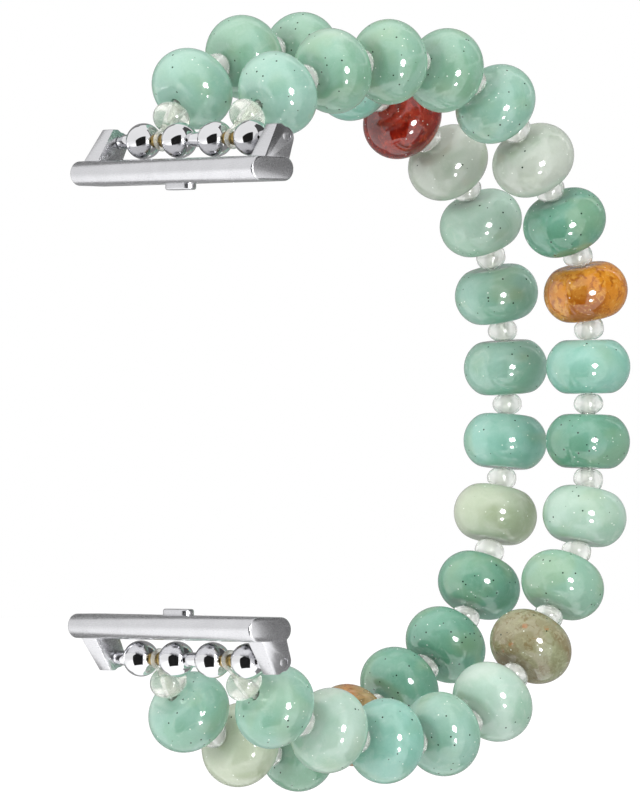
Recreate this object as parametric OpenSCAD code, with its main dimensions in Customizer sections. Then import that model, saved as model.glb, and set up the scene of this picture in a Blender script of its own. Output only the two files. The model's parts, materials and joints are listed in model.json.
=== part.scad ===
// Stretch band: two strands of stone beads on elastic, with a lug adapter at each end.
// +X runs across the band, +Y from the adapters to the back of the wrist, and +Z from the bottom
// adapter to the top one. The origin is the middle of the top adapter's lug bar. Both strands bow
// out behind the adapters and end on the bottom one, which is the top one mirrored.

/* [Stones] */
// Diameter of a stone across its rim
stone_d = 8.1; // [7:0.1:9.5]
// Thickness of a stone along its bore
stone_w = 5.15; // [4.4:0.05:6]
// Diameter of the flat end of a stone
stone_face_d = 4.8; // [3.6:0.1:5.6]
// Bore through stones, spacers and end beads
bore_d = 1.1; // [1.05:0.05:1.3]

/* [Clear beads] */
// Room between the flat ends of two neighbouring stones
spacer_room = 2; // [1.9:0.05:2.6]
// Diameter of a clear spacer
spacer_d = 2.85; // [2.2:0.05:3.2]
// Diameter of the flat end of a clear spacer
spacer_face_d = 1.5; // [1.35:0.05:1.7]
// Diameter of a clear end bead
end_bead_d = 3.6; // [3:0.1:3.8]
// Length of a clear end bead along its bore
end_bead_w = 2.45; // [2.2:0.05:2.6]
// Diameter of the flat end of a clear end bead
end_bead_face_d = 1.4; // [1.35:0.05:1.6]
// Room between a pin's axis and the end bead
lead_room = 1.3; // [1.25:0.05:1.8]
// Room between an end bead and the first stone
neck_room = 0.3; // [0.3:0.05:1]

/* [Strands] */
// Distance of each strand's middle from the middle of the band
strand_x = 5.74; // [5.3:0.02:7]
// Turn of the right strand at its end bead and at stones 1 to 3, in degrees
right_turn_near = [22, 14, 10, 13]; // [0:1:22]
// Turn of the right strand at stones 4 to 6
right_turn_side = [20, 22, 8]; // [0:1:22]
// Turn of the right strand at stones 7 to 9
right_turn_back = [12, 20, 3]; // [0:1:22]
// Turn of the left strand at its end bead and at stones 1 to 3, in degrees
left_turn_near = [11, 19, 22, 22]; // [0:1:22]
// Turn of the left strand at stones 4 to 6
left_turn_side = [12, 4, 19]; // [0:1:22]
// Turn of the left strand at stones 7 to 9
left_turn_back = [20, 7, 10]; // [0:1:22]
// Diameter of the elastic, which runs through every bead twice
elastic_d = 0.4; // [0.3:0.01:0.46]
// Tilt that a stone can take against the spacer at a flexing place, in degrees
flex_tilt = 16; // [8:1:20]

/* [Steel beads] */
// Distance between the two pins
pin_gap = 48.4; // [44:0.1:52]
// Diameter of a pin
pin_d = 0.9; // [0.8:0.05:1]
// Diameter of a steel bead
steel_d = 3.4; // [2.8:0.1:3.6]
// Distance from one steel bead to the next
steel_pitch = 5.1; // [4.9:0.05:5.3]
// Outside diameter of the rings between the steel beads
ring_d = 1.4; // [1.3:0.05:1.8]
// Diameter of the groove that a loop of elastic lies in
groove_d = 1.15; // [1.15:0.05:1.25]

/* [Adapters] */
// Length of the lug bar, which slides into its slot
lug_l = 26; // [25.4:0.1:28]
// Width of the lug bar from front to back
lug_w = 5.2; // [4.8:0.1:5.6]
// Thickness of the lug bar
lug_h = 2.3; // [2:0.1:2.5]
// How far the pin lies behind the middle of the lug bar
pin_back = 2; // [1.6:0.1:2.4]
// How far the pin lies above the middle of the lug bar
pin_rise = 3; // [2.95:0.05:3.6]
// Distance between the outer faces of the ears at their tips
ear_span = 24.8; // [24.4:0.1:25.2]
// Thickness of an ear at its tip
ear_t = 1.5; // [1.2:0.1:1.8]
// Height of an ear's tip above the pin
ear_tip = 1.17; // [0.9:0.01:1.4]
// Width of the flat on an ear's tip
ear_flat = 0.65; // [0.4:0.05:0.9]
// Distance from the pin forward to the front edge of an ear's tip
ear_front = 1.05; // [0.9:0.05:1.3]
// Lean of an ear's front face from upright, in degrees
ear_lean = 32; // [20:1:40]
// Radius of an ear's rounded back round the pin
ear_back_r = 0.9; // [0.8:0.05:1.1]
// How far the back of an ear leans forward from the pin down to the lug bar
ear_heel = 1; // [0.6:0.1:1.4]

/* [Latches] */
// Length of a latch button along the lug bar
latch_l = 3.6; // [2.8:0.1:5]
// Width of a latch button
latch_w = 1.5; // [1.2:0.1:2]
// How far a latch button stands out of the lug bar
latch_out = 0.6; // [0.5:0.05:0.8]
// Length of a latch button inside its pocket
latch_in = 0.85; // [0.7:0.05:0.9]
// Travel of a latch button
latch_travel = 0.5; // [0.3:0.05:0.5]

/* [Hidden] */
// Clearance between a spacer and the stones next to it
bead_clear = 0.05;
// Radial clearance of the beads and rings that turn on a pin
turn_clear = 0.05;
// Radial clearance of a pin pressed into the ears
press_clear = 0.01;
// Clearance between two loops or runs of elastic, and between elastic and its groove
elastic_clear = 0.04;
// Clearance round a latch button
latch_clear = 0.08;
// Clearance between the beads and rings along a pin
row_clear = 0.06;
// How far a cut runs past a face
past = 1;

stones = 18;
half_stones = stones/2;
pitch = stone_w + spacer_room;
// Distance from a pin to the middle of an end bead, and from there to the middle of the first stone
lead = lead_room + end_bead_w/2;
neck = neck_room + (end_bead_w + stone_w)/2;
elastic_r = elastic_d/2;
// Radius of the bore of a bead or ring that turns on a pin
turn_r = pin_d/2 + turn_clear;
// The two runs of elastic lie side by side in every bore.
run_offset = elastic_r + elastic_clear/2;
loop_r = groove_d/2 + elastic_clear + elastic_r;
elastic_x = steel_pitch;
half_gap = pin_gap/2;
mid_z = pin_rise - half_gap;
// Places of the steel beads along a pin, counted in steps of steel_pitch
steel_row = [-1.5, -0.5, 0.5, 1.5];
groove_w = elastic_d + 4*elastic_clear;
// Depth of the lug bar's upper face and of the roots of the ears below the pin
foot = pin_rise - lug_h/2;
root = foot + lug_h/4;

right_turns = concat(right_turn_near, right_turn_side, right_turn_back);
left_turns = concat(left_turn_near, left_turn_side, left_turn_back);

// A section of the band is the beads that keep together when it stretches or flexes.
section_first = [1, 4, 6, 7, 9, 10, 11, 13, 14, 16];
sections = len(section_first);
flex_after = [3, 6, 9, 12, 15];

function two(i) = str(i < 10 ? "0" : "", i);
function has(list, value) = len(search(value, list)) > 0;
function sum_from(list, i) = i >= len(list) ? 0 : list[i] + sum_from(list, i + 1);
function unit(v) = v/norm(v);
function turns(side) = side > 0 ? right_turns : left_turns;

// Half a strand is a chain of straight links: pin to end bead, end bead to stone 1, stone to stone,
// and half a link at the back. A link leans as far as the turns still to come, times share.
links = half_stones + 2;
function link_len(i) = i == 0 ? lead : i == 1 ? neck : i == links - 1 ? pitch/2 : pitch;
function link_step(side, i, share) =
    let (a = share*sum_from(turns(side), i) - 90) link_len(i)*[cos(a), sin(a)];
function rise(side, share, i = 0) =
    i == links ? 0 : link_step(side, i, share)[1] + rise(side, share, i + 1);
// The turns are scaled alike until the half strand ends level with the middle between the pins.
function close_loop(side, low = 0.3, high = 1.7, tries = 30) =
    let (share = (low + high)/2)
    tries == 0 ? share
    : rise(side, share) < -half_gap ? close_loop(side, share, high, tries - 1)
    : close_loop(side, low, share, tries - 1);
right_share = close_loop(1);
left_share = close_loop(-1);
function half_strand(side) =
    let (share = side > 0 ? right_share : left_share)
    [for (i = 0, p = [0, half_gap]; i < links; p = p + link_step(side, i, share), i = i + 1) p];
right_half = half_strand(1);
left_half = half_strand(-1);

// Beads on a strand count from the top pin, 0, over end bead 1 and stones 2 to 19 to end bead 20
// and the bottom pin, 21.
last = stones + 3;
function across(i) = i == 0 ? elastic_x : i == 1 ? elastic_x + (strand_x - elastic_x)*lead/(lead + neck)
    : strand_x;
function bead_at(side, i) =
    let (low = i > last/2, k = low ? last - i : i, p = side > 0 ? right_half[k] : left_half[k])
    [side*across(k), pin_back + p[0], mid_z + (low ? -p[1] : p[1])];
function link_dir(side, i) = unit(bead_at(side, i + 1) - bead_at(side, i));
function bead_dir(side, i) = unit(link_dir(side, i - 1) + link_dir(side, i));
function angle_between(a, b) = acos(min(1, a*b));
// Middle of the flat end of the stone at bead i, on the side that along gives
function face_at(side, i, along) = bead_at(side, i) + along*stone_w/2*bead_dir(side, i);
// A spacer lies on the line between the flat ends of stone s and the next one.
function spacer_line(side, s) = [face_at(side, s + 1, 1), face_at(side, s + 2, -1)];
// Half length of a spacer whose edge just clears the flat end of bead i, tilted by up to swing
function spacer_fit(side, s, i, swing) =
    let (line = spacer_line(side, s), run = line[1] - line[0],
         t = angle_between(bead_dir(side, i), unit(run)), most = max(t, swing))
    (norm(run)/2*cos(t) - bead_clear - spacer_face_d/2*sin(most))/cos(most);
function spacer_half(side, s) =
    min(spacer_fit(side, s, s + 1, 0), spacer_fit(side, s, s + 2, has(flex_after, s) ? flex_tilt : 0));

// Places a solid that stands on +Z at a point, with its axis along a direction.
module aim(p, d) {
    translate(p) rotate([0, acos(d[2]), atan2(d[1], d[0])]) children();
}

// Bead turned about its bore: a barrel whose rim is one arc between two flat ends.
module barrel(d, w, face_d, hole_d) {
    r = d/2;
    f = face_d/2;
    c = (r*r - f*f - w*w/4)/(2*(r - f));
    difference() {
        rotate_extrude($fn = 96) intersection() {
            translate([c, 0]) circle(r - c, $fn = 96);
            translate([0, -w/2]) square([r + past, w]);
        }
        cylinder(d = hole_d, h = 2*w, center = true, $fn = 48);
    }
}

module stone(side, s) {
    aim(bead_at(side, s + 1), bead_dir(side, s + 1)) barrel(stone_d, stone_w, stone_face_d, bore_d);
}

module spacer(side, s) {
    line = spacer_line(side, s);
    aim((line[0] + line[1])/2, unit(line[1] - line[0]))
        barrel(spacer_d, 2*spacer_half(side, s), spacer_face_d, bore_d);
}

function stone_colour(side, s) =
    side < 0 && s == 5 ? "firebrick"
    : side > 0 && s == 8 ? "peru"
    : side < 0 && s == 15 ? "sienna"
    : side > 0 && s == 13 ? "tan"
    : s == 6 || side < 0 && has([11, 17], s) ? "palegoldenrod"
    : s % 3 == 0 ? "seagreen"
    : "mediumaquamarine";

module left_stone(s) { color(stone_colour(-1, s)) stone(-1, s); }
module right_stone(s) { color(stone_colour(1, s)) stone(1, s); }

// Spacers of section n on both strands: between its stones, and after them unless it is the last one
module clear_spacers(n) {
    first = section_first[n - 1];
    until = n < sections ? section_first[n] : stones;
    color("ghostwhite") for (side = [-1, 1], s = [first:until - 1]) spacer(side, s);
}

module end_beads(i) {
    color("ghostwhite") for (side = [-1, 1])
        aim(bead_at(side, i), bead_dir(side, i)) barrel(end_bead_d, end_bead_w, end_bead_face_d, bore_d);
}
module top_end_beads() { end_beads(1); }
module bottom_end_beads() { end_beads(last - 1); }

// Places parts drawn round the top pin, or mirrored round the bottom one.
module at_pin(top) {
    translate([0, pin_back, mid_z + (top ? half_gap : -half_gap)]) mirror([0, 0, top ? 0 : 1]) children();
}

// An ear seen from the side, with the pin at the origin and the front to the left
module ear_side() {
    toe = -ear_front - (ear_tip + foot)*tan(ear_lean);
    polygon([
        [-ear_front, ear_tip],
        [-ear_front + ear_flat, ear_tip],
        [0, ear_back_r],
        [0, 0],
        [ear_back_r, 0],
        [ear_back_r - ear_heel, -root],
        [toe, -root],
        [toe, -foot]
    ]);
    circle(ear_back_r, $fn = 48);
}

// An ear is as thick as ear_t at its tip and spreads outwards to the full length of the lug bar.
module ear_front_view() {
    inner = ear_span/2 - ear_t;
    polygon([
        [inner, ear_tip + past],
        [ear_span/2, ear_tip + past],
        [ear_span/2, ear_tip],
        [lug_l/2, -root],
        [inner, -root]
    ]);
}

module ears() {
    for (side = [0, 1]) mirror([side, 0, 0]) intersection() {
        rotate([90, 0, 90]) linear_extrude(lug_l) ear_side();
        rotate([90, 0, 0]) linear_extrude(2*(lug_w + past), center = true) ear_front_view();
    }
}

module lug_bar() {
    translate([-lug_l/2, -pin_back, -pin_rise]) rotate([90, 0, 90]) {
        linear_extrude(lug_l) {
            square([lug_w - lug_h, lug_h], center = true);
            for (y = [-1, 1]) translate([y*(lug_w - lug_h)/2, 0]) circle(d = lug_h, $fn = 48);
        }
    }
}

module oval(l, w, h) {
    linear_extrude(h) {
        square([l - w, w], center = true);
        for (x = [-1, 1]) translate([x*(l - w)/2, 0]) circle(d = w, $fn = 48);
    }
}

module adapter_frame(top) {
    color("silver") at_pin(top) difference() {
        union() {
            ears();
            lug_bar();
        }
        rotate([0, 90, 0]) cylinder(r = pin_d/2 + press_clear, h = lug_l + 2*past, center = true, $fn = 48);
        translate([0, -pin_back, -pin_rise - lug_h/2 - past])
            oval(latch_l + 2*latch_clear, latch_w + 2*latch_clear,
                past + latch_in + latch_travel + latch_clear);
    }
}
module top_adapter_frame() { adapter_frame(true); }
module bottom_adapter_frame() { adapter_frame(false); }

module latch_button(top) {
    color("gainsboro") at_pin(top) translate([0, -pin_back, -pin_rise - lug_h/2 - latch_out])
        oval(latch_l, latch_w, latch_out + latch_in);
}
module top_latch_button() { latch_button(true); }
module bottom_latch_button() { latch_button(false); }

module pin(top) {
    color("gray") at_pin(top) rotate([0, 90, 0]) cylinder(d = pin_d, h = ear_span, center = true, $fn = 48);
}
module top_pin() { pin(true); }
module bottom_pin() { pin(false); }

module steel_beads(top) {
    color("lightgray") at_pin(top) for (x = steel_row) translate([x*steel_pitch, 0, 0]) difference() {
        sphere(d = steel_d, $fn = 96);
        rotate([0, 90, 0]) cylinder(r = turn_r, h = 2*steel_d, center = true, $fn = 48);
    }
}
module top_steel_beads() { steel_beads(true); }
module bottom_steel_beads() { steel_beads(false); }

// A ring on the pin, from x - l/2 to x + l/2, with a groove for a loop of elastic if it has one
module ring(x, l, groove) {
    translate([x, 0, 0]) rotate([0, 90, 0]) difference() {
        cylinder(d = ring_d, h = l, center = true, $fn = 48);
        cylinder(r = turn_r, h = 2*l, center = true, $fn = 48);
        if (groove) difference() {
            cylinder(d = 2*ring_d, h = groove_w, center = true, $fn = 48);
            cylinder(d = groove_d, h = l, center = true, $fn = 48);
        }
    }
}

module ring_spacers(top) {
    // Length of a steel bead along its bore
    seat = 2*sqrt(steel_d*steel_d/4 - turn_r*turn_r);
    between = steel_pitch - seat - 2*row_clear;
    row_end = max(steel_row)*steel_pitch + seat/2 + row_clear;
    ear_face = ear_span/2 - ear_t - row_clear;
    color("darkkhaki") at_pin(top) {
        for (x = [-1, 0, 1]) ring(x*steel_pitch, between, x != 0);
        for (x = [-1, 1]) ring(x*(row_end + ear_face)/2, ear_face - row_end, false);
    }
}
module top_ring_spacers() { ring_spacers(true); }
module bottom_ring_spacers() { ring_spacers(false); }

// Route of the elastic: down one side of every bore, round the bottom pin and back up the other side.
function in_plane(d) = unit(cross([1, 0, 0], d));
function bore_end(side, i, along, run) =
    let (d = bead_dir(side, i), w = i == 1 || i == last - 1 ? end_bead_w : stone_w)
    bead_at(side, i) + along*w/2*d + run*run_offset*in_plane(d);
function run_points(side, run) =
    [for (i = [1:last - 1], along = [-1, 1]) bore_end(side, i, along, run)];
// Loop round a pin, from where the elastic leaves the end bead's bore to where it comes back
loop_steps = 10;
function loop_points(side, i) =
    let (d = i == 0 ? link_dir(side, 0) : -link_dir(side, last - 1), n = in_plane(d),
         first = acos(loop_r/lead_room))
    [for (k = [0:loop_steps]) let (a = first + k*(360 - 2*first)/loop_steps)
        bead_at(side, i) + loop_r*(cos(a)*d - sin(a)*n)];
function reversed(list) = [for (i = [len(list) - 1:-1:0]) list[i]];
function route(side) = concat(run_points(side, 1), loop_points(side, last),
    reversed(run_points(side, -1)), loop_points(side, 0));

// A tube along a closed route of points
module tube(points, r, sides) {
    n = len(points);
    rings = [for (i = [0:n - 1])
        let (t = unit(unit(points[(i + 1) % n] - points[i]) + unit(points[i] - points[(i + n - 1) % n])),
             u = in_plane(t), v = cross(t, u))
        for (k = [0:sides - 1]) let (a = 360*k/sides) points[i] + r*(cos(a)*u + sin(a)*v)];
    faces = [for (i = [0:n - 1], k = [0:sides - 1], half = [0, 1])
        let (a = i*sides, b = ((i + 1) % n)*sides, m = (k + 1) % sides)
        half == 0 ? [a + k, b + k, b + m] : [a + k, b + m, a + m]];
    polyhedron(rings, faces);
}

module left_elastic_cord() { color("whitesmoke") tube(route(-1), elastic_r, 8); }
module right_elastic_cord() { color("whitesmoke") tube(route(1), elastic_r, 8); }

top_adapter_frame();
top_latch_button();
top_pin();
top_steel_beads();
top_ring_spacers();
top_end_beads();
left_elastic_cord();
right_elastic_cord();
bottom_end_beads();
bottom_ring_spacers();
bottom_steel_beads();
bottom_pin();
bottom_latch_button();
bottom_adapter_frame();
for (n = [1:sections])
    clear_spacers(n);
for (s = [1:stones]) {
    left_stone(s);
    right_stone(s);
}
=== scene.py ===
import json
import math

import bmesh
import bpy
from mathutils import Matrix, Vector, noise

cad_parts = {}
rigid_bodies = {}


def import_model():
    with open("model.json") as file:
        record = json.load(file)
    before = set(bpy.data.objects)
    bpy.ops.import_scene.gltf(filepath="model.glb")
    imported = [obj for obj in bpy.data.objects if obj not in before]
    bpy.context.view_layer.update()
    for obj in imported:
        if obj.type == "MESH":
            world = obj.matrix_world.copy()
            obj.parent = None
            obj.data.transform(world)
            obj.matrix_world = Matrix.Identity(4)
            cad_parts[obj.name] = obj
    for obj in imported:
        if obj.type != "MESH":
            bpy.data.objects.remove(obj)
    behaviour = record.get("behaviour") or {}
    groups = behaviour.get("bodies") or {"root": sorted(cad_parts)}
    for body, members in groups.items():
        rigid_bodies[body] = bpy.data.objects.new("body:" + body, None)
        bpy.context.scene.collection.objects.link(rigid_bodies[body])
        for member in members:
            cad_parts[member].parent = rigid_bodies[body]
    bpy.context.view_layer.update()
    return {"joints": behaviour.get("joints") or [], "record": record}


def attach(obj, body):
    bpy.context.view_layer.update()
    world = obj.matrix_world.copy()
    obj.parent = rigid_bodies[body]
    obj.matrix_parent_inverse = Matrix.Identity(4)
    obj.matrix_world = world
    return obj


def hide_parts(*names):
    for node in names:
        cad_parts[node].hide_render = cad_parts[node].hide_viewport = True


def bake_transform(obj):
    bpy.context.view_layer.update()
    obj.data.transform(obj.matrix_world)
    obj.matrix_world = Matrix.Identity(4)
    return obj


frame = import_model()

# Sizes, in metres. EAR_LEAN is an angle in degrees.
MM = 0.001
STONES = 18
STONE_D, STONE_W, STONE_FACE_D = 8.1*MM, 5.15*MM, 4.8*MM
SPACER_D, SPACER_FACE_D, SPACER_ROOM, BORE_D = 2.85*MM, 1.5*MM, 2*MM, 1.1*MM
END_BEAD_D, END_BEAD_W, END_BEAD_FACE_D, NECK = 3.6*MM, 2.45*MM, 1.4*MM, 4.1*MM
ELASTIC_D, RUN_OFFSET, LOOP_R = 0.4*MM, 0.22*MM, 0.815*MM
STEEL_D, STEEL_PITCH, PIN_D, TURN_CLEAR, PIN_PROUD = 3.4*MM, 5.1*MM, 0.9*MM, 0.05*MM, 0.15*MM
RING_D, GROOVE_D, GROOVE_W, ROW_CLEAR = 1.4*MM, 1.15*MM, 0.56*MM, 0.06*MM
LUG_L, LUG_W, LUG_H, PIN_BACK, PIN_RISE = 26*MM, 5.2*MM, 2.3*MM, 2*MM, 3*MM
EAR_SPAN, EAR_T, EAR_TIP, EAR_FLAT, EAR_FRONT = 24.8*MM, 1.5*MM, 1.17*MM, 0.65*MM, 1.05*MM
EAR_LEAN, EAR_BACK_R, EAR_HEEL = 32, 0.9*MM, 1*MM
LATCH_L, LATCH_W, LATCH_OUT, LATCH_IN = 3.6*MM, 1.5*MM, 0.6*MM, 0.85*MM
LATCH_TRAVEL, LATCH_CLEAR, PRESS_CLEAR = 0.5*MM, 0.08*MM, 0.01*MM

# Softened edges and rounded bore mouths, in metres, and the least gap between a spacer and a stone
STONE_SOFT, STONE_MOUTH = 1.6*MM, 0.06*MM
SPACER_SOFT, END_BEAD_SOFT, GLASS_MOUTH, SPACER_CLEAR = 0.3*MM, 0.35*MM, 0.1*MM, 0.04*MM
STEEL_SOFT, STEEL_FACE, RING_EDGE, PIN_EDGE = 0.03*MM, 0.08*MM, 0.08*MM, 0.06*MM
EAR_EDGE, LUG_EDGE, LATCH_EDGE = 0.1*MM, 0.22*MM, 0.2*MM

# How finely round shapes are divided
STONE_SIDES, GLASS_SIDES, STEEL_SIDES, RING_SIDES, PIN_SIDES, CORD_SIDES = 96, 72, 96, 72, 64, 12
RIM_STEPS, STEEL_RIM_STEPS, SHOULDER_STEPS, LOOP_STEPS, OVAL_STEPS = 40, 64, 8, 36, 24
EAR_STEPS, LUG_STEPS = 28, 32
CORD_STEP = 0.3*MM

# Angles in degrees. Edges sharper than these stay crisp: in blocks, in tubes and where a piece is
# cut, in rings and in pins. Softening takes edges that are sharper than the last.
CRISP, CRISP_CUT, CRISP_RING, CRISP_PIN, SOFTENED = 25, 60, 40, 35, 28

JOINTS = {j["name"]: j for j in frame["joints"]}
BEND_AFTER = {j["parent"]: j for j in frame["joints"] if j["name"].startswith("flex_")}
BODY_OF = {n: body for body, nodes in frame["record"]["behaviour"]["bodies"].items() for n in nodes}
SIDES = {"left": -1, "right": 1}
TOP_PIN, BOTTOM_PIN = (Vector(JOINTS[n]["pos_m"]) for n in ("top_pivot", "bottom_pivot"))
X, Z = Vector((1, 0, 0)), Vector((0, 0, 1))


# Meshes

def piece_of(name, verts, faces, smooth_below=180):
    """New object with these vertices and faces. Edges sharper than smooth_below degrees stay
    crisp."""
    mesh = bpy.data.meshes.new(name)
    mesh.from_pydata([tuple(v) for v in verts], [], faces)
    tidy = bmesh.new()
    tidy.from_mesh(mesh)
    bmesh.ops.recalc_face_normals(tidy, faces=tidy.faces)
    tidy.to_mesh(mesh)
    tidy.free()
    mesh.shade_smooth()
    if smooth_below < 180:
        mesh.set_sharp_from_angle(angle=math.radians(smooth_below))
    piece = bpy.data.objects.new(name, mesh)
    bpy.context.scene.collection.objects.link(piece)
    return piece


def lathe(name, outline, around, middle, along, wobble=None, smooth_below=180, solid=False):
    """An outline of (radius, height) points, turned about the line through middle. It closes on
    itself, or ends in two flat caps where the piece is solid."""
    turn = Z.rotation_difference(along).to_matrix()
    verts = []
    for radius, height in outline:
        for k in range(around):
            a = 2*math.pi*k/around
            p = Vector((radius*math.cos(a), radius*math.sin(a), height))
            verts.append(middle + turn @ (wobble(p) if wobble else p))
    n = len(outline)
    faces = [(j*around + k, j*around + (k + 1) % around, (j + 1) % n*around + (k + 1) % around,
              (j + 1) % n*around + k) for j in range(n - solid) for k in range(around)]
    if solid:
        faces += [tuple(range(around)), tuple(range((n - 1)*around, n*around))]
    return piece_of(name, verts, faces, smooth_below)


def bead_outline(d, w, face_d, bore, soft, mouth, steps=RIM_STEPS):
    """Half section of a bead: an arc round its rim, softened where it meets the two flat ends, and
    a bore with rounded mouths."""
    r, f, h, b = d/2, face_d/2, w/2, bore/2
    c = (r*r - f*f - h*h)/(2*(r - f))
    x = c + math.sqrt(max(0, (r - c - soft)**2 - (h - soft)**2))
    turn = math.atan2(h - soft, x - c)
    rim = [turn*(1 - 2*k/steps) for k in range(steps + 1)]
    shoulder = [turn + (math.pi/2 - turn)*k/SHOULDER_STEPS for k in range(SHOULDER_STEPS, 0, -1)]
    top = [(x + soft*math.cos(t), h - soft + soft*math.sin(t)) for t in shoulder]
    entry = [(b + mouth - mouth*math.sin(a), h + mouth*math.cos(a) - mouth)
             for a in (math.radians(q) for q in (0, 22.5, 45, 67.5, 90))]
    wall = [(b, (h - mouth)*q) for q in (-0.6, -0.2, 0.2, 0.6)]
    bulge = [(c + (r - c)*math.cos(t), (r - c)*math.sin(t)) for t in rim]
    low_half = [(radius, -height) for radius, height in top[::-1] + entry]
    return top + bulge + low_half + wall + entry[::-1]


def tube(name, runs, radius):
    """One mesh with a round tube along each run of points, closed at its ends."""
    verts, faces, sides = [], [], CORD_SIDES
    for points in runs:
        first = len(verts)
        across = None
        for i, p in enumerate(points):
            ahead = points[min(i + 1, len(points) - 1)] - points[max(i - 1, 0)]
            ahead.normalize()
            across = ahead.cross(X if across is None else across.cross(ahead)).normalized()
            other = ahead.cross(across)
            for k in range(sides):
                a = 2*math.pi*k/sides
                verts.append(p + radius*(math.cos(a)*across + math.sin(a)*other))
        rows = len(points)
        faces += [(first + i*sides + k, first + i*sides + (k + 1) % sides,
                   first + (i + 1)*sides + (k + 1) % sides, first + (i + 1)*sides + k)
                  for i in range(rows - 1) for k in range(sides)]
        faces.append(tuple(first + k for k in range(sides)))
        faces.append(tuple(first + (rows - 1)*sides + k for k in range(sides)))
    return piece_of(name, verts, faces, CRISP_CUT)


def finely(points, step):
    """The same line with points no further apart than step."""
    fine = [points[0]]
    for a, b in zip(points, points[1:]):
        n = max(1, math.ceil((b - a).length/step))
        fine += [a.lerp(b, k/n) for k in range(1, n + 1)]
    return fine


def prism(name, ring, low, high):
    """A closed ring of (y, z) points, drawn along X from low(y, z) to high(y, z)."""
    n = len(ring)
    verts = [(low(*p), *p) for p in ring] + [(high(*p), *p) for p in ring]
    faces = [(k, (k + 1) % n, n + (k + 1) % n, n + k) for k in range(n)]
    faces += [tuple(range(n)), tuple(range(n, 2*n))]
    return piece_of(name, verts, faces, CRISP)


def arc(middle, r, start, end, steps):
    """Points on an arc in the YZ plane, from one angle to another, in degrees."""
    angles = [math.radians(start + (end - start)*k/steps) for k in range(steps + 1)]
    return [(middle[0] + r*math.cos(a), middle[1] + r*math.sin(a)) for a in angles]


def modified(piece, kind, **settings):
    """Applies one modifier to the piece's mesh."""
    step = piece.modifiers.new(kind.title(), kind)
    for name, value in settings.items():
        setattr(step, name, value)
    bpy.context.view_layer.update()
    graph = bpy.context.evaluated_depsgraph_get()
    made = bpy.data.meshes.new_from_object(piece.evaluated_get(graph))
    piece.modifiers.clear()
    piece.data = made
    return piece


def soften(piece, width):
    """Rounds the piece's sharp edges."""
    return modified(piece, "BEVEL", width=width, segments=4, limit_method="ANGLE",
                    angle_limit=math.radians(SOFTENED), harden_normals=True,
                    use_clamp_overlap=True)


def cut(piece, cutter):
    """Cuts the cutter out of the piece. The edges of the cut stay crisp."""
    modified(piece, "BOOLEAN", operation="DIFFERENCE", object=cutter, solver="EXACT")
    bpy.data.objects.remove(cutter)
    piece.data.set_sharp_from_angle(angle=math.radians(CRISP_CUT))
    return piece


# Materials

def linear(*rgb):
    """A colour from 0 to 255 as shown on a screen, in the values that a shader takes."""
    return [(c/255/12.92 if c <= 10 else ((c/255 + 0.055)/1.055)**2.4) for c in rgb] + [1]


class Nodes:
    """A material's node tree, with its Principled shader at hand."""

    def __init__(self, name):
        self.material = bpy.data.materials.new(name)
        self.material.use_nodes = True
        self.tree = self.material.node_tree
        self.shader = self.tree.nodes["Principled BSDF"]
        self.place = self.add("ShaderNodeTexCoord").outputs["Object"]

    def add(self, kind, inputs=None, **settings):
        node = self.tree.nodes.new(kind)
        for name, value in settings.items():
            setattr(node, name, value)
        for name, value in (inputs or {}).items():
            self.put(node.inputs[name], value)
        return node

    def put(self, socket, value):
        if isinstance(value, bpy.types.NodeSocket):
            self.tree.links.new(value, socket)
        else:
            socket.default_value = value

    def set(self, **values):
        for name, value in values.items():
            self.put(self.shader.inputs[name.replace("_", " ")], value)

    def noise(self, size, detail=2, rough=0.5, distortion=0, place=None):
        """Noise whose features are about size across, in metres."""
        node = self.add("ShaderNodeTexNoise",
                        {"Vector": place or self.place, "Scale": 1/size, "Detail": detail,
                         "Roughness": rough, "Distortion": distortion})
        return node.outputs["Fac"]

    def ramp(self, value, low, high, to_low=0, to_high=1):
        """A value mapped smoothly from low..high."""
        node = self.add("ShaderNodeMapRange", {"Value": value, "From Min": low, "From Max": high,
                                               "To Min": to_low, "To Max": to_high},
                        interpolation_type="SMOOTHSTEP")
        return node.outputs["Result"]

    def math(self, operation, a, b):
        node = self.add("ShaderNodeMath", operation=operation)
        self.put(node.inputs[0], a)
        self.put(node.inputs[1], b)
        return node.outputs[0]

    def mix(self, share, a, b, blend="MIX"):
        """Colour a towards colour b."""
        node = self.add("ShaderNodeMix", data_type="RGBA", blend_type=blend)
        for socket, value in ((node.inputs[0], share), (node.inputs[6], a), (node.inputs[7], b)):
            self.put(socket, value)
        return node.outputs[2]

    def along(self, middle, direction, reach):
        """How far a point lies from middle along a direction, 1 at reach."""
        away = self.add("ShaderNodeVectorMath", {0: self.place, 1: middle}, operation="SUBTRACT")
        dot = self.add("ShaderNodeVectorMath", {0: away.outputs["Vector"], 1: direction/reach},
                       operation="DOT_PRODUCT")
        return dot.outputs["Value"]

    def dots(self, spacing, size, share):
        """1 inside small round dots, in about this share of the cells that are spacing apart."""
        cells = self.add("ShaderNodeTexVoronoi", {"Vector": self.place, "Scale": 1/spacing})
        near = self.ramp(cells.outputs["Distance"], size/spacing/2, size/spacing/3)
        chosen = self.add("ShaderNodeSeparateColor", {0: cells.outputs["Color"]}).outputs[0]
        return self.math("MULTIPLY", near, self.math("LESS_THAN", chosen, share))

    def bump(self, height, distance):
        """Bumps of that height, in metres."""
        node = self.add("ShaderNodeBump", {"Height": height, "Distance": distance, "Strength": 1.0})
        self.set(Normal=node.outputs["Normal"])


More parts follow.
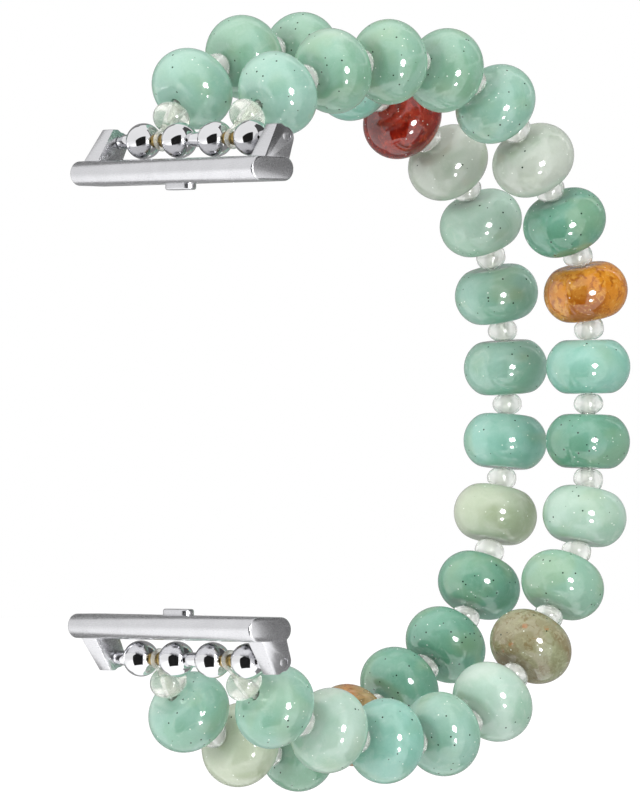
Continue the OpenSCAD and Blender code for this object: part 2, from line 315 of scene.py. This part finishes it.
# Each kind of stone: its body colour, its clouds, its pale or bright parts, which also colour the
# painted light on a stone's paler side, and the share of cells with a dark speck
KINDS = {
    "light": ((146, 185, 170), (129, 173, 152), (178, 204, 191), 0.35),
    "green": ((139, 178, 158), (120, 164, 138), (168, 194, 178), 0.4),
    "deep": ((107, 157, 137), (92, 144, 119), (139, 179, 161), 0.5),
    "aqua": ((142, 190, 176), (121, 176, 158), (172, 205, 194), 0.3),
    "pale": ((175, 201, 187), (154, 188, 168), (200, 213, 203), 0.25),
    "grey": ((185, 193, 182), (165, 178, 162), (208, 212, 203), 0.2),
    "cream": ((187, 197, 175), (165, 178, 149), (206, 212, 195), 0.2),
    "red": ((154, 34, 16), (106, 18, 8), (186, 66, 42), 0.0),
    "amber": ((200, 128, 28), (154, 84, 12), (216, 164, 76), 0.0),
    "tan": ((144, 139, 110), (124, 110, 76), (168, 166, 136), 0.3),
    "brown": ((160, 104, 56), (124, 74, 34), (192, 148, 96), 0.1),
}
WARM_KINDS = ("red", "amber", "tan", "brown")

# Mottling in pale colour and in cloud colour: how large its pattern is, between which values of
# the noise it sets in, and how strong it gets. Warm kinds are mottled more finely.
MOTTLING = ((1.6*MM, 0.5, 0.78, 0.45), (1.1*MM, 0.56, 0.74, 0.35))
WARM_MOTTLING = ((0.9*MM, 0.49, 0.64, 0.6), (0.8*MM, 0.5, 0.63, 0.85))

# The stones of each strand, from the top pin to the bottom one
RIGHT_STONES = ("light green green green light grey deep amber aqua deep pale green tan pale light "
                "aqua pale light").split()
LEFT_STONES = ("light green green aqua red grey pale light light aqua cream deep deep deep brown "
               "green cream light").split()


def stone_material(name, kind, middle, lean, pale_zone_and_light):
    """Polished, slightly translucent stone: cloudy, with fine grain, dark specks, and mica flecks
    with painted glints. Its side towards lean is painted paler: painted light on every stone, and on
    a few stones also their own pale zone."""
    body, cloud, pale = (linear(*colour) for colour in KINDS[kind][:3])
    specks = KINDS[kind][3]
    warm = kind in WARM_KINDS
    (pale_size, *pale_range, pale_share), (dark_size, *dark_range, dark_share) = \
        WARM_MOTTLING if warm else MOTTLING
    m = Nodes(name)

    # Broad clouds, and the paler side: painted light towards lean, with the stone's own pale zone
    # where it has a strong one
    drift = m.noise(5*MM, 2, 0.5, 0.8)
    colour = m.mix(m.ramp(drift, 0.42, 0.66), body, cloud)
    side = m.math("ADD", m.along(middle, lean, STONE_D/2), m.math("MULTIPLY", drift, 1.6))
    colour = m.mix(m.ramp(side, 1.15, 1.9, 0, pale_zone_and_light), colour, pale)

    # Mottling and grain
    veil = m.noise(pale_size, 5, 0.65, 1.2)
    colour = m.mix(m.ramp(veil, *pale_range, 0, pale_share), colour, pale)
    dark = m.noise(dark_size, 4, 0.65, 0.6)
    colour = m.mix(m.ramp(dark, *dark_range, 0, dark_share), colour, cloud)
    grain = m.noise(0.22*MM, 2, 0.6)
    colour = m.mix(m.ramp(grain, 0.3, 0.7, 0, 0.1), colour, linear(236, 240, 232), "SOFT_LIGHT")

    # Rust spots, mossy patches, dark specks, and mica flecks painted white as glints
    if kind == "tan":
        rust = m.math("MULTIPLY", m.dots(1.1*MM, 0.7*MM, 0.3), m.ramp(veil, 0.4, 0.6))
        colour = m.mix(m.math("MULTIPLY", rust, 0.7), colour, linear(168, 104, 52))
    if specks:
        moss = m.noise(4.2*MM, 1, 0.5, 0.5)
        colour = m.mix(m.ramp(moss, 0.5, 0.72, 0, 0.3), colour, linear(152, 175, 136))
        colour = m.mix(m.dots(0.7*MM, 0.22*MM, specks), colour, linear(28, 48, 40))
    # Painted glints: small white dots on the mica flecks, painted into the colour
    painted_glints = m.math("MULTIPLY", m.dots(0.6*MM, 0.16*MM, 0.35), 0.8)
    colour = m.mix(painted_glints, colour, linear(244, 250, 244))

    polish = m.ramp(m.noise(0.5*MM, 2), 0.3, 0.7, 0.045, 0.09)
    m.set(Base_Color=colour, IOR=1.55, Specular_IOR_Level=0.75, Roughness=polish,
          Subsurface_Weight=0.35, Subsurface_Scale=0.4*MM if warm else 1.1*MM,
          Subsurface_Radius=(1, 1, 0.9))
    m.bump(m.noise(1.3*MM, 2, 0.4), 0.006*MM)
    return m.material


def glass_material(name, colour, clear_share, bend, rough):
    """Glass or cord that is clear to a share, with soft flow lines. Lamps shine through it."""
    m = Nodes(name)
    m.set(Base_Color=linear(*colour), Transmission_Weight=clear_share, IOR=bend, Roughness=rough,
          Coat_Weight=1.0, Coat_Roughness=0.02)
    m.bump(m.noise(0.9*MM, 1, 0.4, 0.8), GLASS_WAVE)
    clear = m.add("ShaderNodeBsdfTransparent", {"Color": linear(236, 238, 235)})
    shadow = m.add("ShaderNodeLightPath").outputs["Is Shadow Ray"]
    both = m.add("ShaderNodeMixShader", {0: shadow, 1: m.shader.outputs[0], 2: clear.outputs[0]})
    m.put(m.tree.nodes["Material Output"].inputs["Surface"], both.outputs[0])
    return m.material


def steel_material(name, colour, rough, brushed):
    """Polished or finely brushed metal, with hairlines along X."""
    m = Nodes(name)
    lines = m.add("ShaderNodeMapping", {"Vector": m.place, "Scale": (0.04, 1, 1)})
    hair = m.noise(0.05*MM, 3, 0.6, 0, lines.outputs["Vector"])
    stain = m.noise(2.5*MM, 3)
    darker = linear(*(0.8*c for c in colour))
    brushing = m.ramp(hair, 0.3, 0.7, rough*0.85, rough*1.15)
    m.set(Base_Color=m.mix(m.ramp(stain, 0.35, 0.65, 0, 0.12), linear(*colour), darker),
          Metallic=1.0,
          Roughness=m.math("ADD", brushing, m.ramp(stain, 0.4, 0.7, 0, 0.02)))
    m.bump(hair, brushed)
    return m.material


def dress(piece, material, node, body=None):
    """Gives a piece its material and body, and hides the node that it stands for."""
    piece.data.materials.clear()
    piece.data.materials.append(material)
    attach(piece, body or BODY_OF[node])
    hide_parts(node)
    return piece


GLASS_WAVE = 0.0005*MM
CLEAR = glass_material("clear_glass", (243, 244, 241), clear_share=0.7, bend=1.3, rough=0.16)
MILKY = glass_material("milky_glass", (228, 232, 224), clear_share=0.84, bend=1.4, rough=0.2)
ELASTIC = glass_material("elastic", (236, 237, 232), clear_share=0.75, bend=1.4, rough=0.2)
POLISHED = steel_material("polished_steel", (226, 226, 228), rough=0.03, brushed=0.0)
SATIN = steel_material("satin_steel", (212, 212, 215), rough=0.26, brushed=0.0001*MM)
GILT = steel_material("gilt", (150, 128, 76), rough=0.06, brushed=0.0002*MM)


# The strands, from the joints of the stones

def before(bend, after):
    """Direction of the link before a bead, from the bead's own direction and the link after it."""
    return 2*bend.dot(after)*bend - after


class Strand:
    """Places and directions of the beads of one strand: 0 is the top pin, 1 the top end bead, 2 to
    19 the stones, 20 the bottom end bead and 21 the bottom pin."""

    def __init__(self, side):
        spins = [JOINTS[f"{side}_spin_{s:02d}"] for s in range(1, STONES + 1)]
        self.section = [j["parent"] for j in spins]
        stones = [Vector(j["pos_m"]) for j in spins]
        turned = [Vector(j["axis"]).normalized() for j in spins]
        first = before(turned[0], (stones[1] - stones[0]).normalized())
        last = before(turned[-1], (stones[-1] - stones[-2]).normalized())
        across = SIDES[side]*STEEL_PITCH*X
        ends = (TOP_PIN + across, stones[0] - NECK*first,
                stones[-1] + NECK*last, BOTTOM_PIN + across)
        self.at = [ends[0], ends[1], *stones, ends[2], ends[3]]
        top, low = (ends[1] - ends[0]).normalized(), (ends[3] - ends[2]).normalized()
        self.dir = [top, (top + first).normalized(), *turned, (last + low).normalized(), low]

    def face(self, s, end):
        """Middle and direction of stone s's flat end, before it at -1 and after it at 1."""
        return self.at[s + 1] + end*STONE_W/2*self.dir[s + 1], self.dir[s + 1]

    def width(self, i):
        return END_BEAD_W if i in (1, STONES + 2) else STONE_W

    def bore(self, i, along, run):
        """Point in bead i's bore, from -1 at one end to 1 at the other, on a run of elastic."""
        aside = X.cross(self.dir[i]).normalized()
        return self.at[i] + along*self.width(i)/2*self.dir[i] + run*RUN_OFFSET*aside

    def loop(self, pin, bead):
        """The elastic's loop round a pin, from the run at 1 to the run at -1."""
        towards = (self.at[bead] - self.at[pin]).normalized()
        aside = X.cross(self.dir[bead]).normalized()
        reach = (self.at[bead] - self.at[pin]).length - END_BEAD_W/2
        first = math.acos(LOOP_R/reach)
        angles = [first + k*(2*math.pi - 2*first)/LOOP_STEPS for k in range(LOOP_STEPS + 1)]
        aside = (aside - aside.dot(towards)*towards).normalized()
        return [self.at[pin] + LOOP_R*(math.cos(a)*towards + math.sin(a)*aside) for a in angles]


STRANDS = {side: Strand(side) for side in SIDES}


# Stones, spacers and end beads

# Where the paler side of a stone lies, and how pale it is: painted light, paler towards the top and
# the camera. These six stones have a strong one, their own pale zone as well as painted light.
LEANS = {("left", 11): (-0.67, -0.74, 0.1), ("left", 18): (-0.6, -0.6, 0.4),
         ("right", 2): (0, 0, 1), ("right", 6): (-0.3, -0.3, 0.9),
         ("right", 14): (0.1, 0, 1), ("right", 17): (-0.2, -0.2, 1)}
# The usual lean and paleness paint light onto the upper side of every stone.
LIT_SIDE_LEAN, STRONG_SIDE, LIT_SIDE_PALENESS = (0.2, -0.5, 0.8), 0.9, 0.4


def stone_wobble(s, side):
    """Small unevenness of a ground stone, always inwards."""
    seed = Vector((s*3.1, SIDES[side]*5.7, s*1.7))
    thin = 1 - 0.002*(1 + noise.noise(seed))

    def wobble(p):
        dent = 1 - 0.003*(1 + noise.noise(p/(4.5*MM) + seed))
        return Vector((p.x*dent, p.y*dent, p.z*thin))
    return wobble


def make_stones(side, kinds):
    strand = STRANDS[side]
    for s in range(1, STONES + 1):
        node = f"{side}_stone_{s:02d}"
        middle, along = strand.at[s + 1], strand.dir[s + 1]
        outline = bead_outline(STONE_D, STONE_W, STONE_FACE_D, BORE_D, STONE_SOFT, STONE_MOUTH)
        stone = lathe(f"{side}_bead_{s:02d}_stone", outline, STONE_SIDES, middle, along,
                      stone_wobble(s, side))
        # The paler side: painted light, stronger on the six stones with their own pale zone.
        lean = Vector(LEANS.get((side, s), LIT_SIDE_LEAN)).normalized()
        pale_zone_and_light = STRONG_SIDE if (side, s) in LEANS else LIT_SIDE_PALENESS
        material = stone_material(f"stone_{side}_{s:02d}", kinds[s - 1], middle, lean, pale_zone_and_light)
        dress(stone, material, node)


def between_faces(middle, along, clear, low_faces, high_faces):
    """Stretches a spacer's two halves so that each ends a clearance away from the flat end of the
    stone that it faces, given as (point, normal), wherever that stone may tilt."""
    turn = Z.rotation_difference(along).to_matrix().inverted()
    low, high = ([(turn @ (point - middle), turn @ normal) for point, normal in faces]
                 for faces in (low_faces, high_faces))

    def fit(p):
        sign = math.copysign(1, p.z)
        room = min(sign*(at.z - (n.x*(p.x - at.x) + n.y*(p.y - at.y))/n.z)
                   for at, n in (high if p.z > 0 else low))
        return Vector((p.x, p.y, p.z*(room - clear)/(SPACER_ROOM/2)))
    return fit


def tilted(face, joint):
    """The flat end of a stone at rest and at both limits of the joint that it bends at."""
    point, normal = face
    pivot = Vector(joint["pos_m"])
    faces = [face]
    for angle in joint["range_deg"]:
        turn = Matrix.Rotation(math.radians(angle), 3, Vector(joint["axis"]))
        faces.append((pivot + turn @ (point - pivot), turn @ normal))
    return faces


def make_spacers(side):
    strand = STRANDS[side]
    outline = bead_outline(SPACER_D, SPACER_ROOM, SPACER_FACE_D, BORE_D, SPACER_SOFT, GLASS_MOUTH)
    for s in range(1, STONES):
        low, high = strand.face(s, 1), strand.face(s + 1, -1)
        middle, along = (low[0] + high[0])/2, (high[0] - low[0]).normalized()
        here, there = strand.section[s - 1], strand.section[s]
        bends = there != here and here in BEND_AFTER
        highs = tilted(high, BEND_AFTER[here]) if bends else [high]
        fit = between_faces(middle, along, SPACER_CLEAR, [low], highs)
        spacer = lathe(f"{side}_spacer_{s:02d}", outline, GLASS_SIDES, middle, along, fit)
        dress(spacer, CLEAR, frame["record"]["behaviour"]["bodies"][here][0])


def make_end_beads():
    outline = bead_outline(END_BEAD_D, END_BEAD_W, END_BEAD_FACE_D, BORE_D, END_BEAD_SOFT,
                           GLASS_MOUTH)
    for side, strand in STRANDS.items():
        for end, i in (("top", 1), ("bottom", STONES + 2)):
            bead = lathe(f"{side}_{end}_end_bead", outline, GLASS_SIDES, strand.at[i],
                         strand.dir[i])
            dress(bead, MILKY, f"{end}_end_beads")


# Elastic: pieces that end in the middle of a bead, where no one sees the joint

def through(strand, i, j, run, first=0, last=0):
    """One run of elastic from bead i to bead j. It starts at place first in the bore of i and ends
    at place last in that of j: the middle, or -1 or 1 for an end of the bore."""
    stops = [(i, first), (i, 1)] + [(k, end) for k in range(i + 1, j) for end in (-1, 1)]
    return [strand.bore(k, along, run) for k, along in stops + [(j, -1), (j, last)]]


def cord(name, lines):
    return tube(name, [finely(line, CORD_STEP) for line in lines], ELASTIC_D/2)


def make_elastic(side):
    """The elastic in pieces: a stiff one through the beads that keep together, and one wherever two
    beads part, drawn at rest and fixed to no body. The first and last make the loops round the pins."""
    strand = STRANDS[side]
    node = f"{side}_elastic_cord"
    bodies = [BODY_OF["top_end_beads"], *strand.section, BODY_OF["bottom_end_beads"]]
    first, last = 0, len(bodies) - 1
    for k in range(1, len(bodies)):
        if bodies[k] == bodies[k - 1]:
            continue
        if 0 < first < k - 1:
            lines = [through(strand, first + 1, k, run) for run in (1, -1)]
            piece = cord(f"{side}_elastic_{first:02d}_to_{k - 1:02d}", lines)
            dress(piece, ELASTIC, node, body=bodies[k - 1])
        near, end = strand.bore(k, 1, 0), strand.bore(k + 1, -1, 0)
        if k == 1:
            down, up = (through(strand, k, k + 1, run, first=-1) for run in (1, -1))
            lines = [up[::-1] + strand.loop(k - 1, k)[::-1] + down]
            start = strand.at[k]
        elif k == last:
            down, up = (through(strand, k, k + 1, run, last=1) for run in (1, -1))
            lines = [down + strand.loop(k + 2, k + 1) + up[::-1]]
            start, end = near, strand.at[k + 1]
        else:
            lines = [through(strand, k, k + 1, run) for run in (1, -1)]
            start = (near + end)/2
        piece = cord(f"{side}_elastic_bend_{k:02d}", lines)
        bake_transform(piece)
        piece.data.materials.append(ELASTIC)
        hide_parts(node)
        first = k


# Adapters: each is drawn round the origin as the top one, and mirrored for the bottom one

def placed(piece, top):
    """Moves a piece drawn round the origin to its pin."""
    if top:
        piece.data.transform(Matrix.Translation(TOP_PIN))
    else:
        piece.data.transform(Matrix.Translation(BOTTOM_PIN) @ Matrix.Scale(-1, 4, Z))
        piece.data.flip_normals()
    return piece


def on_pin(name, outline, x, top, around=STEEL_SIDES, smooth_below=180, solid=False):
    """A turned piece on a pin, at a distance x from the middle."""
    return placed(lathe(name, outline, around, x*X, X, None, smooth_below, solid), top)


def ring_outline(length, grooved):
    """Half section of a ring, with rounded edges and a groove if the elastic lies in it."""
    r, b, h, e = RING_D/2, PIN_D/2 + TURN_CLEAR, length/2, RING_EDGE
    side = [(b, h - e), (b + e/2, h), (r - e, h), (r - 0.3*e, h - 0.3*e), (r, h - e)]
    if grooved:
        g, w = GROOVE_D/2, GROOVE_W/2
        side += [(r, w + e), (r - 0.3*e, w + 0.3*e), (r - e, w),
                 (g + e, w), (g + 0.3*e, w - 0.3*e), (g, w - e)]
    return side + [(x, -y) for x, y in reversed(side)]


def make_row(end):
    top = end == "top"
    bore = PIN_D/2 + TURN_CLEAR
    face = bore + STEEL_FACE
    seat = 2*math.sqrt(STEEL_D**2/4 - bore**2)
    ball = bead_outline(STEEL_D, 2*math.sqrt(STEEL_D**2/4 - face**2), 2*face, 2*bore, STEEL_SOFT,
                        STEEL_SOFT, STEEL_RIM_STEPS)
    for k, x in enumerate((-1.5, -0.5, 0.5, 1.5), 1):
        bead = on_pin(f"{end}_steel_bead_{k}", ball, x*STEEL_PITCH, top)
        dress(bead, POLISHED, f"{end}_steel_beads")
    between = STEEL_PITCH - seat - 2*ROW_CLEAR
    row_end = 1.5*STEEL_PITCH + seat/2 + ROW_CLEAR
    ear_face = EAR_SPAN/2 - EAR_T - ROW_CLEAR
    collar, length = (row_end + ear_face)/2, ear_face - row_end
    rings = {"left_collar": (-collar, length, POLISHED), "left_ring": (-STEEL_PITCH, between, GILT),
             "middle_ring": (0, between, POLISHED), "right_ring": (STEEL_PITCH, between, GILT),
             "right_collar": (collar, length, POLISHED)}
    for name, (x, long, metal) in rings.items():
        gilt = metal is GILT
        ring = on_pin(f"{end}_{name}", ring_outline(long, gilt), x, top, RING_SIDES, CRISP_RING)
        dress(ring, metal, f"{end}_ring_spacers")


def make_pin(end):
    r, h, e = PIN_D/2, EAR_SPAN/2 + PIN_PROUD, PIN_EDGE
    side = [(r - e, h), (r - 0.3*e, h - 0.3*e), (r, h - e), (r, h/2)]
    outline = side + [(r, 0)] + [(x, -y) for x, y in reversed(side)]
    pin = on_pin(f"{end}_pin_body", outline, 0, end == "top", PIN_SIDES, CRISP_PIN, solid=True)
    dress(pin, SATIN, f"{end}_pin")


def oval(name, length, width, low, high):
    """An oval block with its length along X, from low to high, under the middle of the lug bar."""
    ring, r, end = [], width/2, (length - width)/2
    for x, start in ((end, -90), (-end, 90)):
        ring += [(x + r*math.cos(a), -PIN_BACK + r*math.sin(a))
                 for a in (math.radians(start + 180*k/OVAL_STEPS) for k in range(OVAL_STEPS + 1))]
    n = len(ring)
    faces = [(k, (k + 1) % n, n + (k + 1) % n, n + k) for k in range(n)]
    faces += [tuple(range(n)), tuple(range(n, 2*n))]
    return piece_of(name, [(*p, z) for z in (low, high) for p in ring], faces, CRISP)


def ear(name, side, top):
    """One ear with its pin hole. Its outer face leans outwards down to the lug bar."""
    foot = PIN_RISE - LUG_H/2
    root = foot + LUG_H/4
    toe = -EAR_FRONT - (EAR_TIP + foot)*math.tan(math.radians(EAR_LEAN))
    heel = (EAR_BACK_R - EAR_HEEL, -root)
    leaves = math.degrees(math.atan2(heel[1], heel[0]) + math.acos(EAR_BACK_R/math.hypot(*heel)))
    ring = [(-EAR_FRONT, EAR_TIP), (-EAR_FRONT + EAR_FLAT, EAR_TIP)]
    ring += arc((0, 0), EAR_BACK_R, 90, leaves, EAR_STEPS) + [heel, (toe, -root), (toe, -foot)]
    inner, spread = EAR_SPAN/2 - EAR_T, (LUG_L - EAR_SPAN)/2

    def outer(y, z):
        return side*(EAR_SPAN/2 + spread*max(0, EAR_TIP - z)/(EAR_TIP + root))
    piece = soften(placed(prism(name, ring, lambda y, z: side*inner, outer), top), EAR_EDGE)
    r = PIN_D/2 + PRESS_CLEAR
    hole = on_pin("hole", [(r, -LUG_L), (r, LUG_L)], 0, top, PIN_SIDES, CRISP, solid=True)
    return cut(piece, hole)


def make_adapter(end):
    top = end == "top"
    node = f"{end}_adapter_frame"
    for side, sign in SIDES.items():
        dress(ear(f"{end}_{side}_ear", sign, top), SATIN, node)
    r, half = LUG_H/2, (LUG_W - LUG_H)/2
    ring = (arc((half - PIN_BACK, -PIN_RISE), r, -90, 90, LUG_STEPS)
            + arc((-half - PIN_BACK, -PIN_RISE), r, 90, 270, LUG_STEPS))
    bar = prism(f"{end}_lug_bar", ring, lambda y, z: -LUG_L/2, lambda y, z: LUG_L/2)
    bar = soften(placed(bar, top), LUG_EDGE)
    low = -PIN_RISE - r
    pocket = oval("pocket", LATCH_L + 2*LATCH_CLEAR, LATCH_W + 2*LATCH_CLEAR, low - LATCH_OUT,
                  low + LATCH_IN + LATCH_TRAVEL + LATCH_CLEAR)
    dress(cut(bar, placed(pocket, top)), SATIN, node)
    button = oval(f"{end}_latch", LATCH_L, LATCH_W, low - LATCH_OUT, low + LATCH_IN)
    dress(soften(placed(button, top), LATCH_EDGE), SATIN, f"{end}_latch_button")


# Stage: camera, floor, backdrop, lamps and dark cards

# The camera stands DISTANCE metres from CENTRE, which shows at CENTRE_PIXEL. Angles in degrees.
CENTRE = Vector((0, 27*MM, -21.2*MM))
YAW, RISE, ROLL = 48, -0.5, 0.3
DISTANCE, PIXELS_PER_MM = 0.9, 10.555
WIDE, HIGH = 640, 806
CENTRE_PIXEL = (395.7, 401.8)
SENSOR = 36.0


def from_camera(turn, rise):
    """Direction from the object, turned to the camera's right and raised, in degrees."""
    a, e = math.radians(YAW + turn), math.radians(rise)
    return Vector((math.sin(a)*math.cos(e), -math.cos(a)*math.cos(e), math.sin(e)))


def make_camera():
    back = from_camera(0, RISE)
    camera = bpy.data.objects.new("camera", bpy.data.cameras.new("camera"))
    bpy.context.scene.collection.objects.link(camera)
    bpy.context.scene.camera = camera
    camera.data.sensor_width = SENSOR
    camera.data.lens = SENSOR*PIXELS_PER_MM*DISTANCE/MM/HIGH
    camera.data.clip_start, camera.data.clip_end = 0.05, 50
    eye = CENTRE + DISTANCE*back
    right = back.cross(Z).normalized()*-1
    up = back.cross(right)
    pixel = MM/PIXELS_PER_MM
    aim = CENTRE - (CENTRE_PIXEL[0] - WIDE/2)*pixel*right + (CENTRE_PIXEL[1] - HIGH/2)*pixel*up
    turn = (aim - eye).to_track_quat("-Z", "Y").to_matrix()
    turn = turn @ Matrix.Rotation(math.radians(ROLL), 3, "Z")
    camera.matrix_world = Matrix.Translation(eye) @ turn.to_4x4()


# Floor, light from all round, and the point that the lamps and cards are set round
FLOOR_Z, FLOOR_HALF, FLOOR_GREY, FLOOR_GLOW = -0.19, 8.0, 0.8, 0.35
AMBIENT = 0.92
AIM = Vector((0, 0.02, -0.021))


def seen_directly(tree):
    """1 where the camera sees a surface, straight or in metal or glass, and 0 where it only lights
    others."""
    path = tree.nodes.new("ShaderNodeLightPath")
    seen = path.outputs["Is Camera Ray"]
    for name in ("Is Glossy Ray", "Is Transmission Ray"):
        either = tree.nodes.new("ShaderNodeMath")
        either.operation = "MAXIMUM"
        tree.links.new(seen, either.inputs[0])
        tree.links.new(path.outputs[name], either.inputs[1])
        seen = either.outputs[0]
    return seen


def make_world():
    world = bpy.data.worlds.new("studio")
    bpy.context.scene.world = world
    world.use_nodes = True
    tree = world.node_tree
    lit = tree.nodes["Background"]
    white = tree.nodes.new("ShaderNodeBackground")
    for node, strength in ((lit, AMBIENT), (white, 1.0)):
        node.inputs["Color"].default_value = (1, 1, 1, 1)
        node.inputs["Strength"].default_value = strength
    both = tree.nodes.new("ShaderNodeMixShader")
    tree.links.new(seen_directly(tree), both.inputs[0])
    tree.links.new(lit.outputs[0], both.inputs[1])
    tree.links.new(white.outputs[0], both.inputs[2])
    tree.links.new(both.outputs[0], tree.nodes["World Output"].inputs["Surface"])


def make_floor():
    """A white floor that keeps the object's soft shadow."""
    corners = [(x*FLOOR_HALF, y*FLOOR_HALF, FLOOR_Z)
               for x, y in ((-1, -1), (1, -1), (1, 1), (-1, 1))]
    floor = piece_of("floor", corners, [(0, 1, 2, 3)])
    m = Nodes("floor")
    m.set(Base_Color=(FLOOR_GREY, FLOOR_GREY, FLOOR_GREY, 1), Roughness=0.9,
          Specular_IOR_Level=0.0)
    strength = m.math("MULTIPLY", seen_directly(m.tree), FLOOR_GLOW)
    glow = m.add("ShaderNodeEmission", {"Color": (1, 1, 1, 1), "Strength": strength})
    both = m.add("ShaderNodeAddShader", {0: m.shader.outputs[0], 1: glow.outputs[0]})
    m.put(m.tree.nodes["Material Output"].inputs["Surface"], both.outputs[0])
    floor.data.materials.append(m.material)


def card(name, turn, rise, width, height, far, grey, sag=0):
    """A dark card that only shows in reflections, in a direction from the camera's own, in
    degrees. Its upper left corner may sag."""
    rows = 8
    verts = [AIM + far*from_camera(turn + width*(i/rows - 0.5),
                                   rise + height*(j/rows - 0.5) - sag*j/rows*(1 - i/rows)**2)
             for j in range(rows + 1) for i in range(rows + 1)]
    up = rows + 1
    faces = [(j*up + i, j*up + i + 1, (j + 1)*up + i + 1, (j + 1)*up + i)
             for j in range(rows) for i in range(rows)]
    flag = piece_of(name, verts, faces)
    m = Nodes(name)
    m.set(Base_Color=(grey, grey, grey, 1), Roughness=1.0, Specular_IOR_Level=0.0)
    flag.data.materials.append(m.material)
    for rays in ("camera", "diffuse", "transmission", "shadow", "volume_scatter"):
        setattr(flag, f"visible_{rays}", False)


def lamp(name, turn, rise, far, size, power, glint):
    """A round lamp, in a direction from the camera's own. A glint is only seen in reflections, and
    any other lamp only lights what it falls on."""
    light = bpy.data.lights.new(name, "AREA")
    light.shape = "DISK"
    light.size = size
    light.energy = power
    spot = bpy.data.objects.new(name, light)
    bpy.context.scene.collection.objects.link(spot)
    towards = from_camera(turn, rise)
    spot.location = AIM + far*towards
    spot.rotation_euler = towards.to_track_quat("Z", "Y").to_euler()
    spot.visible_glossy = glint
    spot.visible_diffuse = spot.visible_transmission = not glint


make_camera()
make_world()
make_floor()
lamp("upper_glint", turn=23, rise=3, far=0.25, size=0.075, power=0.5, glint=True)
lamp("lower_glint", turn=23, rise=-27, far=0.25, size=0.042, power=0.15, glint=True)
lamp("soft_key", turn=25, rise=55, far=0.8, size=0.5, power=2.6, glint=False)
lamp("soft_fill", turn=-45, rise=15, far=0.8, size=0.5, power=2.4, glint=False)
card("front_card", turn=-23, rise=-4, width=62, height=78, far=0.24, grey=0.02, sag=26)
card("high_card", turn=82, rise=46, width=76, height=56, far=0.55, grey=0.08)
card("side_card", turn=98, rise=-26, width=72, height=92, far=0.19, grey=0.2)
card("rear_card", turn=180, rise=5, width=100, height=110, far=0.19, grey=0.26)

for end in ("top", "bottom"):
    make_adapter(end)
    make_pin(end)
    make_row(end)
make_end_beads()
for side, kinds in (("right", RIGHT_STONES), ("left", LEFT_STONES)):
    make_stones(side, kinds)
    make_spacers(side)
    make_elastic(side)

bpy.context.scene.view_settings.view_transform = "Standard"
